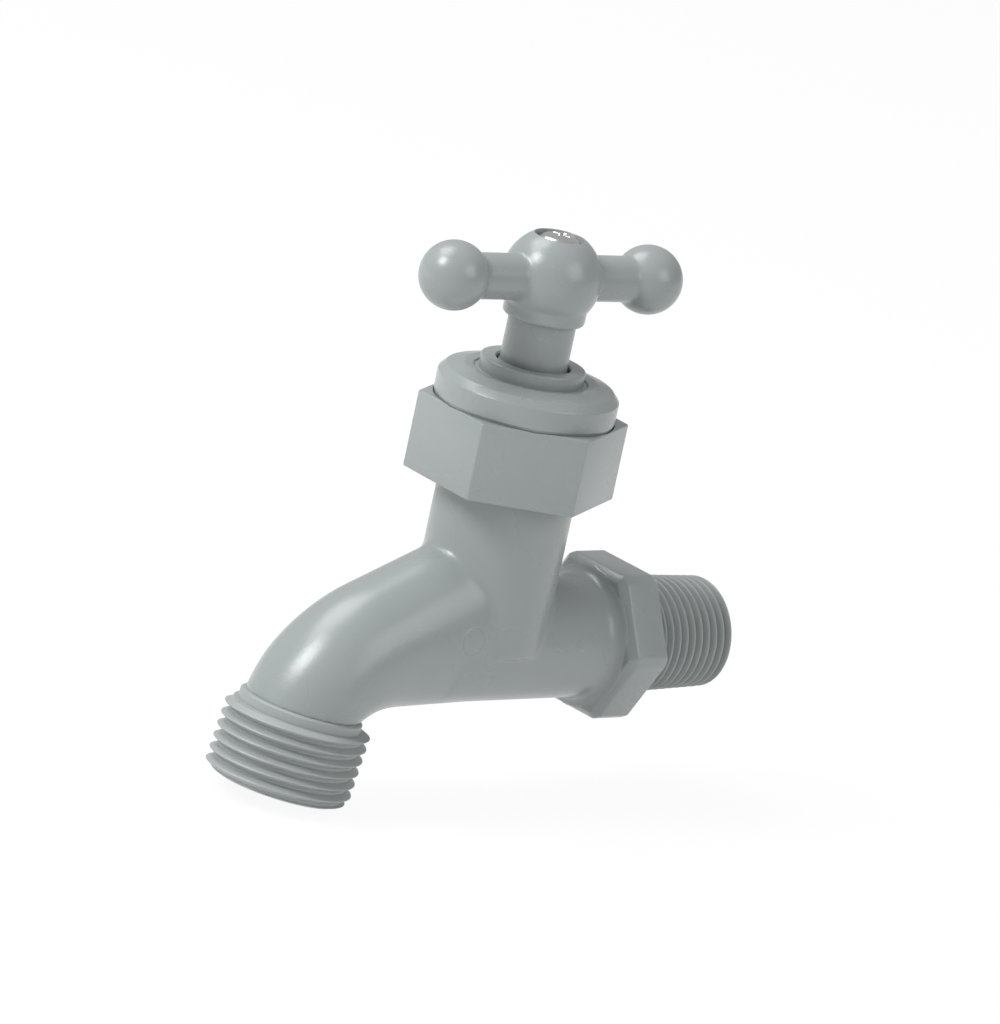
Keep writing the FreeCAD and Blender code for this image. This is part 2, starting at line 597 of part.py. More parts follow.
def bar(name, width, length, low, high):
    """A flat bar through the stem axis, for driver slots."""
    return add("Part::Box", name, Width=width, Length=length,
               Height="(%s) - (%s)" % (high, low), Placement__Base__x="-(%s) / 2" % length,
               Placement__Base__y="-(%s) / 2" % width, Placement__Base__z=low)


washer_screw = cut("washer_screw", washer_screw_turned,
                   bar("slot", "screw_slot_width", "2 * washer_screw_head_r + 1",
                       head_low + " - 1", head_low + " + screw_slot_depth"))

# The handle is one moulding: hub, two arms and their end balls, a recess for the screw on top
# and a square socket for the stem below.

hub = add("Part::Sphere", "hub", Radius="hub_r", Placement__Base__z="handle_level")
skirt_low = "handle_level - hub_skirt_drop"
skirt = cylinder("skirt", "hub_skirt_r", skirt_low, "handle_level")
skirt_edge = rounded("skirt_edge", joined("hub_and_skirt", [hub, skirt]), "hub_lip_r",
                     ring_edge("hub_skirt_r", skirt_low))
arms = turn(doc.addObject("Part::Cylinder", "arms"), Y_AXIS, 90)
bind(arms, Radius="arm_r", Height="2 * ball_reach", Placement__Base__x="-ball_reach",
     Placement__Base__z="handle_level")
balls = [bind(turn(doc.addObject("Part::Sphere", "ball_%d" % number), Y_AXIS, 90),
              Radius="ball_r", Placement__Base__x=reach, Placement__Base__z="handle_level")
         for number, reach in enumerate(("-ball_reach", "ball_reach"))]
handle_blank = turn(joined("handle_blank", [skirt_edge, arms] + balls), Z_AXIS, "handle_angle")
handle_voids = joined("handle_voids", [
    cylinder("under_hub", "hub_r", skirt_low + " - hub_r", skirt_low),
    cylinder("recess", "hub_recess_r", "hub_recess_level", "handle_level + hub_r + 1"),
    cylinder("screw_way", "handle_screw_r + 4 * screw_play", drive_top, "hub_recess_level + 1"),
    square("socket", "drive_flats + 2 * drive_play", skirt_low + " - 1", drive_top + " + 0.3")])
handle = cut("handle", handle_blank, handle_voids)

lock_washer = turned("lock_washer", [
    ("handle_screw_r + 4 * screw_play", "hub_recess_level"),
    ("lock_washer_r", "hub_recess_level"), ("lock_washer_r", handle_screw_seat),
    ("handle_screw_r + 4 * screw_play", handle_screw_seat)])

head_top = handle_screw_seat + " + handle_screw_head_height"
handle_screw_turned = turned("handle_screw_turned", [
    ("0", handle_screw_seat + " - handle_screw_length"),
    ("handle_screw_r", handle_screw_seat + " - handle_screw_length + 1.5"),
    ("handle_screw_r", handle_screw_seat), ("handle_screw_head_r", handle_screw_seat),
    ("handle_screw_head_r", head_top + " - 1.1"), ("handle_screw_head_r - 1", head_top + " - 0.3"),
    ("handle_screw_head_r - 2.2", head_top), ("0", head_top)])
cross = [bar("cross_bar_%d" % number, width, length, head_top + " - cross_depth",
             head_top + " + 1")
         for number, (width, length) in enumerate((("cross_width", "cross_length"),
                                                   ("cross_length", "cross_width")))]
handle_screw = cut("handle_screw", handle_screw_turned, joined("cross", cross))

# Placement, checks and export

NODES = {
    "valve_body": valve_body, "bonnet": bonnet, "bonnet_gasket": bonnet_gasket, "stem": stem,
    "stem_oring_lower": orings[0], "stem_oring_upper": orings[1],
    "washer_holder": washer_holder, "seat_washer": seat_washer, "washer_screw": washer_screw,
    "handle": handle, "lock_washer": lock_washer, "handle_screw": handle_screw,
}
for node, feature in NODES.items():
    feature.Label = node
    bind(feature, Placement__Base__y="-stem_to_inlet")
doc.recompute()
for feature in doc.Objects:
    if "Invalid" in feature.State or "Error" in feature.State:
        raise ValueError("%s did not recompute: %s" % (feature.Name, feature.State))
for node, feature in NODES.items():
    shape = feature.Shape
    if shape.isNull() or not shape.isValid() or shape.Volume <= 0 or len(shape.Solids) != 1:
        raise ValueError("%s is not one valid solid" % node)
    shape.exportStep("parts/%s.step" % node)
    print("%-18s %9.1f mm3" % (node, shape.Volume))
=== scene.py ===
import json
import math

import bpy
from mathutils import Matrix, Vector
from mathutils.bvhtree import BVHTree

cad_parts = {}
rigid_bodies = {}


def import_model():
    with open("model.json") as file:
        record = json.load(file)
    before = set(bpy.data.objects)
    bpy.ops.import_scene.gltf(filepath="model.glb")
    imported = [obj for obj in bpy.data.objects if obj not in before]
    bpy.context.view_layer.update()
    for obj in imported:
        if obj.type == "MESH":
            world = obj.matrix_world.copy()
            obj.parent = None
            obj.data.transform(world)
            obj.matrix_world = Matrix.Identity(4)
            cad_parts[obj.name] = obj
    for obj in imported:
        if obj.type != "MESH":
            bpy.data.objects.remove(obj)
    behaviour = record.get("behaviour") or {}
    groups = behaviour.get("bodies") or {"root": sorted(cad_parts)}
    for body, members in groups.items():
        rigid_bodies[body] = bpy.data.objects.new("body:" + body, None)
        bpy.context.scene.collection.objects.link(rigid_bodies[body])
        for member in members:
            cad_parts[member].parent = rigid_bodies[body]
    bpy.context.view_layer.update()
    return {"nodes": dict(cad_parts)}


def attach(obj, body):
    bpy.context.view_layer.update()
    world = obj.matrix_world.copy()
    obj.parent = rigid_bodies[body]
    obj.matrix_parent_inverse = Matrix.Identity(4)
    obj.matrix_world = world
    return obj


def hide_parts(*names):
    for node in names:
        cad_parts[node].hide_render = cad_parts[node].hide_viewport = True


for leftover in list(bpy.data.objects):
    bpy.data.objects.remove(leftover)
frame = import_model()

# Grey plastic of every moulded piece: acetal with a satin skin from the mould. Its colour
# drifts a little from place to place, and the skin has a very fine grain.

MM = 0.001
PLASTIC_GREY = (0.256, 0.281, 0.278, 1)
PLASTIC_SHADE = (0.234, 0.261, 0.258, 1)
PLASTIC_ROUGHNESS = 0.22
PLASTIC_IOR = 1.48


def skin_group(name, inputs):
    """Empty node group for a skin that gives colour, roughness and height, with its two ends."""
    group = bpy.data.node_groups.new(name, "ShaderNodeTree")
    outputs = (("Color", "Color"), ("Roughness", "Float"), ("Height", "Float"))
    for in_out, sockets in (("INPUT", inputs), ("OUTPUT", outputs)):
        for label, kind in sockets:
            group.interface.new_socket(name=label, in_out=in_out, socket_type="NodeSocket" + kind)
    return group, group.nodes.new("NodeGroupInput"), group.nodes.new("NodeGroupOutput")


def maths(nodes, operation, constant=None):
    """Maths node, with a constant in its second socket where one is given."""
    node = nodes.new("ShaderNodeMath")
    node.operation = operation
    if constant is not None:
        node.inputs[1].default_value = constant
    return node


def moulded_skin_group():
    """Node group: drifting colour, roughness and grain height of a moulded plastic skin."""
    group, given, result = skin_group("moulded_skin", (
        ("Light", "Color"), ("Dark", "Color"), ("Roughness", "Float"), ("Grain", "Float")))
    nodes, links = group.nodes, group.links
    place = nodes.new("ShaderNodeTexCoord")
    drift = nodes.new("ShaderNodeTexNoise")
    drift.inputs["Scale"].default_value = 55
    drift.inputs["Detail"].default_value = 3
    colour = nodes.new("ShaderNodeMix")
    colour.data_type = "RGBA"
    grain = nodes.new("ShaderNodeTexNoise")
    grain.inputs["Scale"].default_value = 2600
    grain.inputs["Detail"].default_value = 2
    polish = maths(nodes, "MULTIPLY_ADD", 0.10)
    height = maths(nodes, "MULTIPLY")
    links.new(place.outputs["Object"], drift.inputs["Vector"])
    links.new(place.outputs["Object"], grain.inputs["Vector"])
    links.new(drift.outputs["Fac"], colour.inputs["Factor"])
    links.new(given.outputs["Light"], colour.inputs["A"])
    links.new(given.outputs["Dark"], colour.inputs["B"])
    links.new(colour.outputs["Result"], result.inputs["Color"])
    links.new(drift.outputs["Fac"], polish.inputs[0])
    links.new(given.outputs["Roughness"], polish.inputs[2])
    links.new(polish.outputs["Value"], result.inputs["Roughness"])
    links.new(grain.outputs["Fac"], height.inputs[0])
    links.new(given.outputs["Grain"], height.inputs[1])
    links.new(height.outputs["Value"], result.inputs["Height"])
    return group


moulded_skin = moulded_skin_group()


def skinned(name, group, relief, values):
    """Material whose colour, roughness and fine relief, in mm, come from a skin's node group."""
    material = bpy.data.materials.new(name)
    material.use_nodes = True
    nodes, links = material.node_tree.nodes, material.node_tree.links
    shader = nodes["Principled BSDF"]
    skin = nodes.new("ShaderNodeGroup")
    skin.node_tree = group
    for socket, value in values.items():
        skin.inputs[socket].default_value = value
    bump = nodes.new("ShaderNodeBump")
    bump.inputs["Distance"].default_value = relief * MM
    bump.inputs["Strength"].default_value = 0.5
    links.new(skin.outputs["Color"], shader.inputs["Base Color"])
    links.new(skin.outputs["Roughness"], shader.inputs["Roughness"])
    links.new(skin.outputs["Height"], bump.inputs["Height"])
    links.new(bump.outputs["Normal"], shader.inputs["Normal"])
    return material


def plastic(name, light, dark, roughness, grain):
    """Satin moulded plastic with its own colours, roughness and depth of grain."""
    material = skinned(name, moulded_skin, 0.03, {"Light": light, "Dark": dark,
                                                  "Roughness": roughness, "Grain": grain})
    material.node_tree.nodes["Principled BSDF"].inputs["IOR"].default_value = PLASTIC_IOR
    return material


grey_plastic = plastic("grey_plastic", PLASTIC_GREY, PLASTIC_SHADE, PLASTIC_ROUGHNESS, 1.0)


# Valve body casting: barrel, neck and spout in one moulding. The neck runs down both sides of
# the barrel to a flat tongue; the spout leaves it in a soft blend and bends down to the hose
# thread, with the faint ring of an ejector pin on its side, and the barrel flares out behind.

STEM_Y = -34.8
BARREL_R = 11.28
NECK_R = 12.6
NECK_FOOT = 0.3
HEX_FRONT = -9.7
FLARE_R = 2.3
OUTLET_REACH = 37.48
OUTLET_DROP = 11.62
OUTLET_TILT = 8.6
SPOUT_END_R = 10.66
SPOUT_SIDE_R = 11.5
CROWN_ARC_R = 37.1
CROWN_ARC_CENTRE = Vector((0, -13.2, -23.0))
CROWN_SLOPE = 24
HEEL_SAG = 0.45
WATER_WALL = 2.0
INLET_BORE_R = 6.35
HOSE_BORE_R = 8.5


def alone(piece):
    """Select one object and nothing else."""
    bpy.ops.object.select_all(action="DESELECT")
    piece.select_set(True)
    bpy.context.view_layer.objects.active = piece


def move(piece, turn=(0, 0, 0), shift=(0, 0, 0)):
    """Turn a piece about X, Y and Z, in degrees, shift it in mm, and settle that in its mesh."""
    alone(piece)
    piece.rotation_euler = [math.radians(angle) for angle in turn]
    piece.location = Vector(shift) * MM
    bpy.ops.object.transform_apply(location=True, rotation=True, scale=True)
    return piece


def turned(name, outline, sides=128, closed=False):
    """Body of revolution on the Z axis: a circle extruded and scaled from one (radius, height)
    pair in mm to the next. A closed outline runs back to its first pair and leaves a bore."""
    bpy.ops.object.select_all(action="DESELECT")
    radius, height = outline[0]
    bpy.ops.mesh.primitive_circle_add(vertices=sides, radius=radius * MM)
    piece = bpy.context.object
    piece.name = name
    move(piece, shift=(0, 0, height))
    bpy.ops.object.mode_set(mode="EDIT")
    bpy.ops.mesh.select_all(action="SELECT")
    for next_radius, next_height in outline[1:] + ([outline[0]] if closed else []):
        bpy.ops.mesh.extrude_region_move(
            TRANSFORM_OT_translate={"value": (0, 0, (next_height - height) * MM)})
        growth = next_radius / radius
        bpy.ops.transform.resize(value=(growth, growth, 1),
                                 center_override=(0, 0, next_height * MM))
        radius, height = next_radius, next_height
    if closed:
        bpy.ops.mesh.select_all(action="SELECT")
        bpy.ops.mesh.remove_doubles(threshold=0.000001)
    else:
        bpy.ops.mesh.edge_face_add()
        bpy.ops.mesh.select_all(action="SELECT")
        bpy.ops.mesh.region_to_loop()
        bpy.ops.mesh.edge_face_add()
    bpy.ops.mesh.select_all(action="SELECT")
    bpy.ops.mesh.normals_make_consistent(inside=False)
    bpy.ops.object.mode_set(mode="OBJECT")
    return piece


def arc(centre_r, centre_height, radius, start, end, steps=10):
    """Points of an arc in an outline; angles are in degrees from the radial direction."""
    points = []
    for step in range(steps + 1):
        angle = math.radians(start + (end - start) * step / steps)
        points.append((centre_r + radius * math.cos(angle),
                       centre_height + radius * math.sin(angle)))
    return points


def finish_with(piece, kind, **settings):
    """Add a modifier with these settings and apply it."""
    alone(piece)
    modifier = piece.modifiers.new(kind.lower(), kind)
    for setting, value in settings.items():
        setattr(modifier, setting, value)
    bpy.ops.object.modifier_apply(modifier=modifier.name)


def carve(piece, tool, operation="DIFFERENCE"):
    """Exact boolean of a piece with a tool, which is used up."""
    finish_with(piece, "BOOLEAN", operation=operation, solver="EXACT", object=tool)
    bpy.data.objects.remove(tool)


def dressed(piece, material, node, body, angle=35):
    """Smooth shading with sharper edges kept, the material, and the node that it stands for."""
    alone(piece)
    bpy.ops.object.shade_smooth_by_angle(angle=math.radians(angle))
    piece.data.materials.clear()
    piece.data.materials.append(material)
    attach(piece, body)
    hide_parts(node)
    return piece


def on_outlet(piece):
    """Stand a piece on the outlet axis, its own +Z pointing out of the spout."""
    return move(piece, turn=(180 - OUTLET_TILT, 0, 0),
                shift=(0, STEM_Y - OUTLET_REACH, -OUTLET_DROP))


def spout_sections():
    """Crown and heel points of the sections along the spout, in the mirror plane."""
    tilt = math.radians(OUTLET_TILT)
    across = Vector((0, -math.cos(tilt), math.sin(tilt)))
    outlet = Vector((0, -OUTLET_REACH, -OUTLET_DROP))
    first_crown = outlet + across * SPOUT_END_R
    first_heel = outlet - across * SPOUT_END_R
    spoke = first_crown - CROWN_ARC_CENTRE
    start_angle = math.degrees(math.atan2(-spoke.y, spoke.z))
    uphill = Vector((0, math.cos(math.radians(CROWN_SLOPE)), math.sin(math.radians(CROWN_SLOPE))))
    underside = -BARREL_R - HEEL_SAG
    heel_bend, heel_drift, heel_run, crown_run = 7.0, 1.0, 16.5, 20
    sections = [(first_crown, first_heel)]
    bend_steps, slope_steps = 16, 12
    for step in range(1, bend_steps + 1):
        share = step / bend_steps
        angle = math.radians(start_angle + (CROWN_SLOPE - start_angle) * share)
        crown = CROWN_ARC_CENTRE + Vector((0, -math.sin(angle), math.cos(angle))) * CROWN_ARC_R
        quarter = share * math.pi / 2
        heel_y = first_heel.y + heel_bend * (1 - math.cos(quarter)) + heel_drift * share
        heel_z = first_heel.z + (underside - first_heel.z) * math.sin(quarter)
        sections.append((crown, Vector((0, heel_y, heel_z))))
    last_crown, last_heel = sections[-1]
    for step in range(1, slope_steps + 1):
        share = step / slope_steps
        sections.append((last_crown + uphill * crown_run * share,
                         last_heel + Vector((0, heel_run, HEEL_SAG * 0.5)) * share))
    return sections


def spout_shell(name, wall):
    """Loft of elliptical rings through the spout's sections, drawn in by the wall."""
    sections = spout_sections()
    rings = []
    for number, (crown, heel) in enumerate(sections):
        span = crown - heel
        middle = (crown + heel) / 2 * MM
        lean = math.atan2(-span.y, span.z)
        bpy.ops.object.select_all(action="DESELECT")
        bpy.ops.mesh.primitive_circle_add(vertices=96, radius=1, location=middle,
                                          rotation=(lean + math.pi / 2, 0, 0))
        ring = bpy.context.object
        ease = min(1.0, number / 5)
        side = SPOUT_END_R + (SPOUT_SIDE_R - SPOUT_END_R) * ease
        ring.scale = ((side - wall) * MM, (span.length / 2 - wall) * MM, 1)
        bpy.ops.object.transform_apply(location=True, rotation=True, scale=True)
        rings.append(ring)
    bpy.ops.object.select_all(action="DESELECT")
    for ring in rings:
        ring.select_set(True)
    bpy.context.view_layer.objects.active = rings[0]
    bpy.ops.object.join()
    shell = bpy.context.object
    shell.name = name
    bpy.ops.object.mode_set(mode="EDIT")
    bpy.ops.mesh.select_all(action="SELECT")
    bpy.ops.mesh.bridge_edge_loops()
    bpy.ops.mesh.select_all(action="SELECT")
    bpy.ops.mesh.region_to_loop()
    bpy.ops.mesh.edge_face_add()
    bpy.ops.mesh.select_all(action="SELECT")
    bpy.ops.mesh.fill_holes(sides=0)
    bpy.ops.mesh.normals_make_consistent(inside=False)
    bpy.ops.object.mode_set(mode="OBJECT")
    return shell


NECK_TOP = 41.0
NECK_CORE_LOW = 30.4
NECK_CORE_R = 13.1
NECK_BORE_R = 10.3
SEAT_LEVEL = 9.5
BARREL_REACH = 46.0
BARREL_WAY_R = 6.0
BARREL_WAY_REACH = 40
BODY_VOXEL = 0.42
PIN_Y = -45.3
PIN_LEVEL = 3.9
PIN_R = 2.5
PIN_LINE = 0.22
PIN_DEPTH = 6


def fused(pieces, voxel):
    """Join overlapping closed pieces and remesh them as one skin; the first gives the name."""
    alone(pieces[0])
    for piece in pieces[1:]:
        piece.select_set(True)
    bpy.ops.object.join()
    finish_with(pieces[0], "REMESH", mode="VOXEL", voxel_size=voxel * MM)
    return pieces[0]


def wall_of(piece):
    """Search tree of a piece's surface, for distances to it."""
    return BVHTree.FromObject(piece, bpy.context.evaluated_depsgraph_get())


def soften(piece, walls, reach, rounds, chosen):
    """Smooth the creases of a piece: its points within reach, in mm, of both walls."""
    crease = piece.vertex_groups.new(name="crease")
    for point in piece.data.vertices:
        if not chosen(point.co / MM):
            continue
        gap = max(wall.find_nearest(point.co)[3] for wall in walls) / MM
        if gap < reach:
            crease.add([point.index], 1 - (gap / reach) ** 2, "REPLACE")
    finish_with(piece, "SMOOTH", factor=0.5, iterations=rounds, vertex_group=crease.name)
    piece.vertex_groups.clear()


spout = move(spout_shell("spout", 0), shift=(0, STEM_Y, 0))
casting = move(turned("body_casting", [
    (NECK_R, NECK_FOOT), (NECK_R, NECK_CORE_LOW), (NECK_CORE_R, NECK_CORE_LOW),
    (NECK_CORE_R, NECK_TOP)]), shift=(0, STEM_Y, 0))
flare = arc(BARREL_R + FLARE_R, HEX_FRONT - FLARE_R, FLARE_R, 180, 100, 12)
barrel = move(turned("barrel", [(BARREL_R, BARREL_REACH)] + [(r, -height) for r, height in flare]
                     + [(BARREL_R + FLARE_R, -HEX_FRONT - 0.6)]), turn=(90, 0, 0))
neck_wall, spout_wall, barrel_wall = wall_of(casting), wall_of(spout), wall_of(barrel)
fused([casting, spout, barrel], BODY_VOXEL)
finish_with(casting, "SMOOTH", factor=0.5, iterations=5)
soften(casting, (neck_wall, spout_wall), 3.2, 60, lambda p: p.y < STEM_Y - 5 and p.z > 4)
soften(casting, (neck_wall, barrel_wall), 1.5, 8, lambda p: p.y > STEM_Y - 5 or p.z < 8)

waterway = move(spout_shell("waterway", WATER_WALL), shift=(0, STEM_Y, 0))
carve(waterway, on_outlet(turned("outlet_bore", [(HOSE_BORE_R, -0.6), (HOSE_BORE_R, 18)])),
      "UNION")
carve(waterway, move(turned("neck_bore", [(NECK_BORE_R, SEAT_LEVEL), (NECK_BORE_R, 43)]),
                     shift=(0, STEM_Y, 0)), "UNION")
carve(waterway, move(turned("barrel_way", [(BARREL_WAY_R, -1), (BARREL_WAY_R, BARREL_WAY_REACH)]),
                     turn=(90, 0, 0)), "UNION")
carve(casting, waterway)

body_plastic = plastic("body_plastic", PLASTIC_GREY, PLASTIC_SHADE, PLASTIC_ROUGHNESS, 1.0)
nodes, links = body_plastic.node_tree.nodes, body_plastic.node_tree.links
place = nodes.new("ShaderNodeTexCoord")
from_pin = nodes.new("ShaderNodeMapping")
from_pin.inputs["Location"].default_value = (0, -PIN_Y * MM, -PIN_LEVEL * MM)
from_pin.inputs["Scale"].default_value = (0, 1, 1)
distance = nodes.new("ShaderNodeVectorMath")
distance.operation = "LENGTH"
off_ring = maths(nodes, "SUBTRACT", PIN_R * MM)
gap = maths(nodes, "ABSOLUTE")
ring = nodes.new("ShaderNodeMapRange")
ring.inputs["From Max"].default_value = PIN_LINE * MM
ring.inputs["To Min"].default_value = 1
ring.inputs["To Max"].default_value = 0
axes = nodes.new("ShaderNodeSeparateXYZ")
near_side = maths(nodes, "GREATER_THAN", 0)
mark = maths(nodes, "MULTIPLY")
sunk = maths(nodes, "MULTIPLY_ADD", -PIN_DEPTH)
links.new(place.outputs["Object"], from_pin.inputs["Vector"])
links.new(from_pin.outputs["Vector"], distance.inputs[0])
links.new(distance.outputs["Value"], off_ring.inputs[0])
links.new(off_ring.outputs["Value"], gap.inputs[0])
links.new(gap.outputs["Value"], ring.inputs["Value"])
links.new(place.outputs["Object"], axes.inputs["Vector"])
links.new(axes.outputs["X"], near_side.inputs[0])
links.new(ring.outputs["Result"], mark.inputs[0])
links.new(near_side.outputs["Value"], mark.inputs[1])
links.new(mark.outputs["Value"], sunk.inputs[0])
links.new(nodes["Group"].outputs["Height"], sunk.inputs[2])
links.new(sunk.outputs["Value"], nodes["Bump"].inputs["Height"])

dressed(casting, body_plastic, "valve_body", "tap_body", 40)


# Inlet hexagon: part of the same moulding, for a wrench. Its long edges carry narrow facets,
# and all its edges are broken a little by the mould.

HEX_FLATS = 27.7
HEX_FACET = 2.0
HEX_EDGE = 0.3


def bevel_uprights(prism, offset_type, offset, segments):
    """Bevel the upright edges of a prism."""
    alone(prism)
    bpy.ops.object.mode_set(mode="EDIT")
    bpy.ops.mesh.select_all(action="DESELECT")
    bpy.ops.object.mode_set(mode="OBJECT")
    for edge in prism.data.edges:
        low, high = (prism.data.vertices[index].co for index in edge.vertices)
        edge.select = abs(low.z - high.z) > 5 * MM
    bpy.ops.object.mode_set(mode="EDIT")
    bpy.ops.mesh.select_mode(type="EDGE")
    bpy.ops.mesh.bevel(offset_type=offset_type, offset=offset * MM, segments=segments)
    bpy.ops.object.mode_set(mode="OBJECT")


hexagon = move(turned("inlet_hexagon", [(HEX_FLATS / math.sqrt(3), 0),
                                        (HEX_FLATS / math.sqrt(3), -HEX_FRONT)], sides=6),
               turn=(0, 0, 30))
bevel_uprights(hexagon, "WIDTH", HEX_FACET, 1)
move(hexagon, turn=(90, 0, 0))
finish_with(hexagon, "BEVEL", width=HEX_EDGE * MM, segments=3, limit_method="ANGLE",
            angle_limit=math.radians(20))
carve(hexagon, move(turned("hexagon_bore", [(INLET_BORE_R, -1), (INLET_BORE_R, 11)]),
                    turn=(90, 0, 0)))
dressed(hexagon, grey_plastic, "valve_body", "tap_body", 25)


# Inlet pipe thread: half inch taper thread moulded behind the hexagon, with fine rounded
# crests, a chamfer at its open end and a slightly duller skin than the rest.

# The thread greys are lighter than the grey of the same moulding elsewhere: painted light,
# standing in for the light that the many thread crests catch.
THREAD_GREY_WITH_PAINTED_LIGHT = (0.305, 0.330, 0.325, 1)
THREAD_SHADE_WITH_PAINTED_LIGHT = (0.262, 0.288, 0.284, 1)
PIPE_R = 10.83
PIPE_DEPTH = 1.35
PIPE_PITCH = 1.814
PIPE_LENGTH = 19.5
PIPE_TAPER = 1.79

thread_plastic_with_painted_light = plastic("thread_plastic_with_painted_light", THREAD_GREY_WITH_PAINTED_LIGHT, THREAD_SHADE_WITH_PAINTED_LIGHT, 0.40, 1.4)


def helicoid(name, form, pitch, turns, first, steps=96):
    """Threaded bar on the Z axis. The form gives (radius, height) pairs over one pitch, which
    starts at the height first on +X and winds upwards, right-handed."""
    bpy.ops.object.select_all(action="DESELECT")
    bpy.ops.mesh.primitive_plane_add(size=MM)
    bar = bpy.context.object
    bar.name = name
    bpy.ops.object.mode_set(mode="EDIT")
    bpy.ops.mesh.select_all(action="SELECT")
    bpy.ops.mesh.merge(type="CENTER")
    bpy.ops.mesh.select_all(action="SELECT")
    bpy.ops.transform.translate(value=(form[0][0] * MM, 0, (first + form[0][1]) * MM))
    for (radius, height), (next_radius, next_height) in zip(form, form[1:]):
        bpy.ops.mesh.extrude_vertices_move(TRANSFORM_OT_translate={
            "value": ((next_radius - radius) * MM, 0, (next_height - height) * MM)})
    bpy.ops.object.mode_set(mode="OBJECT")
    finish_with(bar, "SCREW", axis="Z", angle=math.tau, screw_offset=pitch * MM, iterations=turns,
                steps=steps, render_steps=steps, use_merge_vertices=True, merge_threshold=2e-6)
    alone(bar)
    bpy.ops.object.mode_set(mode="EDIT")
    bpy.ops.mesh.select_all(action="SELECT")
    bpy.ops.mesh.remove_doubles(threshold=2e-6)
    bpy.ops.mesh.fill_holes(sides=0)
    bpy.ops.mesh.quads_convert_to_tris()
    bpy.ops.mesh.normals_make_consistent(inside=False)
    bpy.ops.object.mode_set(mode="OBJECT")
    return bar


def thread_form(root_r, crest_r, pitch, root_share, crest_share):
    """One pitch of a moulded thread: straight flanks and a rounded crest."""
    half_root, half_crest = pitch * root_share / 2, pitch * crest_share / 2
    rise = crest_r - root_r
    side = [(root_r, -pitch / 2), (root_r, -half_root), (root_r + rise * 0.82, -half_crest * 1.5),
            (root_r + rise * 0.96, -half_crest * 0.8)]
    return side + [(crest_r, 0)] + [(radius, -height) for radius, height in reversed(side)]


pipe_thread = helicoid(
    "pipe_thread", thread_form(PIPE_R - PIPE_DEPTH, PIPE_R, PIPE_PITCH, 0.86, 0.2),
    PIPE_PITCH, 15, -3.0)
for point in pipe_thread.data.vertices:
    radius = math.hypot(point.co.x, point.co.y)
    narrower = 1 - point.co.z * math.tan(math.radians(PIPE_TAPER)) / radius
    point.co.x *= narrower
    point.co.y *= narrower
pipe_end_r = PIPE_R - PIPE_LENGTH * math.tan(math.radians(PIPE_TAPER))
carve(pipe_thread, turned("pipe_blank", [
    (INLET_BORE_R, -0.5), (PIPE_R + 0.3, -0.5), (PIPE_R + 0.3, PIPE_LENGTH - 1.0),
    (pipe_end_r - PIPE_DEPTH + 0.2, PIPE_LENGTH), (INLET_BORE_R, PIPE_LENGTH)], closed=True),
      "INTERSECT")
move(pipe_thread, turn=(-90, 0, 0))
dressed(pipe_thread, thread_plastic_with_painted_light, "valve_body", "tap_body", 40)


# Hose thread at the end of the spout: a narrow plain band, then nearly six coarse turns with
# thin crests, and a plain bevelled nose with the waterway's open end.

HOSE_R = 13.45
HOSE_ROOT_R = 12.15
HOSE_PITCH = 2.209
HOSE_START = 1.6
HOSE_PHASE = -94.5
BAND_R = 11.4
NOSE_LENGTH = 15.3

hose_thread = helicoid("hose_thread", thread_form(HOSE_ROOT_R, HOSE_R, HOSE_PITCH, 0.78, 0.13),
                       HOSE_PITCH, 10, HOSE_START - 2 * HOSE_PITCH)
move(hose_thread, turn=(0, 0, HOSE_PHASE))
carve(hose_thread, turned("hose_blank", [
    (HOSE_BORE_R, -0.4), (BAND_R - 0.4, -0.3), (BAND_R, 0.0), (BAND_R, HOSE_START + 0.02),
    (HOSE_R + 0.2, 1.95), (HOSE_R + 0.2, NOSE_LENGTH - 1.1),
    (HOSE_ROOT_R + 0.2, NOSE_LENGTH - 0.4), (HOSE_ROOT_R - 0.75, NOSE_LENGTH),
    (HOSE_BORE_R + 0.3, NOSE_LENGTH), (HOSE_BORE_R, NOSE_LENGTH - 0.3)],
    closed=True), "INTERSECT")
on_outlet(hose_thread)
# The hose thread shares the thread material, whose lighter grey is painted light.
dressed(hose_thread, thread_plastic_with_painted_light, "valve_body", "tap_body", 40)


# Bonnet: one moulding that screws on the neck. A hexagon skirt carries a domed cap with a
# shallow crevice at its foot and a low collar round the stem; a sleeve hangs down inside.

NUT_FLATS = 33.6
NUT_CORNER_R = 0.4
NUT_ANGLE = 57.8
NUT_LOW = 29.8
NUT_TOP = 44.2
NUT_EDGE = 0.35
DOME_R = 16.6
DOME_WALL_TOP = 48.35
COLLAR_R = 9.6
COLLAR_TOP = 52.7
SKIRT_BORE_R = 14.32
ROOF = 42.5
SLEEVE_R = 9.9
SLEEVE_LOW = 22.0
LEAD_BORE_R = 8.12
SEAL_BORE_R = 6.6
SEAL_BORE_LOW = 36.5
OPENING_R = 6.8
OPENING_LOW = 50.5


def eased(corners, steps=8):
    """Outline with its corners rounded; each corner is (radius, height, rounding) in mm."""
    outline = [corners[0][:2]]
    for before, here, after in zip(corners, corners[1:], corners[2:]):
        corner = Vector(here[:2])
        back = (Vector(before[:2]) - corner).normalized()
        ahead = (Vector(after[:2]) - corner).normalized()
        if here[2] == 0:
            outline.append(tuple(corner))
            continue
        opening = back.angle(ahead)
        reach = here[2] / math.tan(opening / 2)
        middle = corner + (back + ahead).normalized() * here[2] / math.sin(opening / 2)
        first, last = corner + back * reach - middle, corner + ahead * reach - middle
        for step in range(steps + 1):
            spoke = first.slerp(last, step / steps).normalized()
            outline.append(tuple(middle + spoke * here[2]))
    return outline + [corners[-1][:2]]


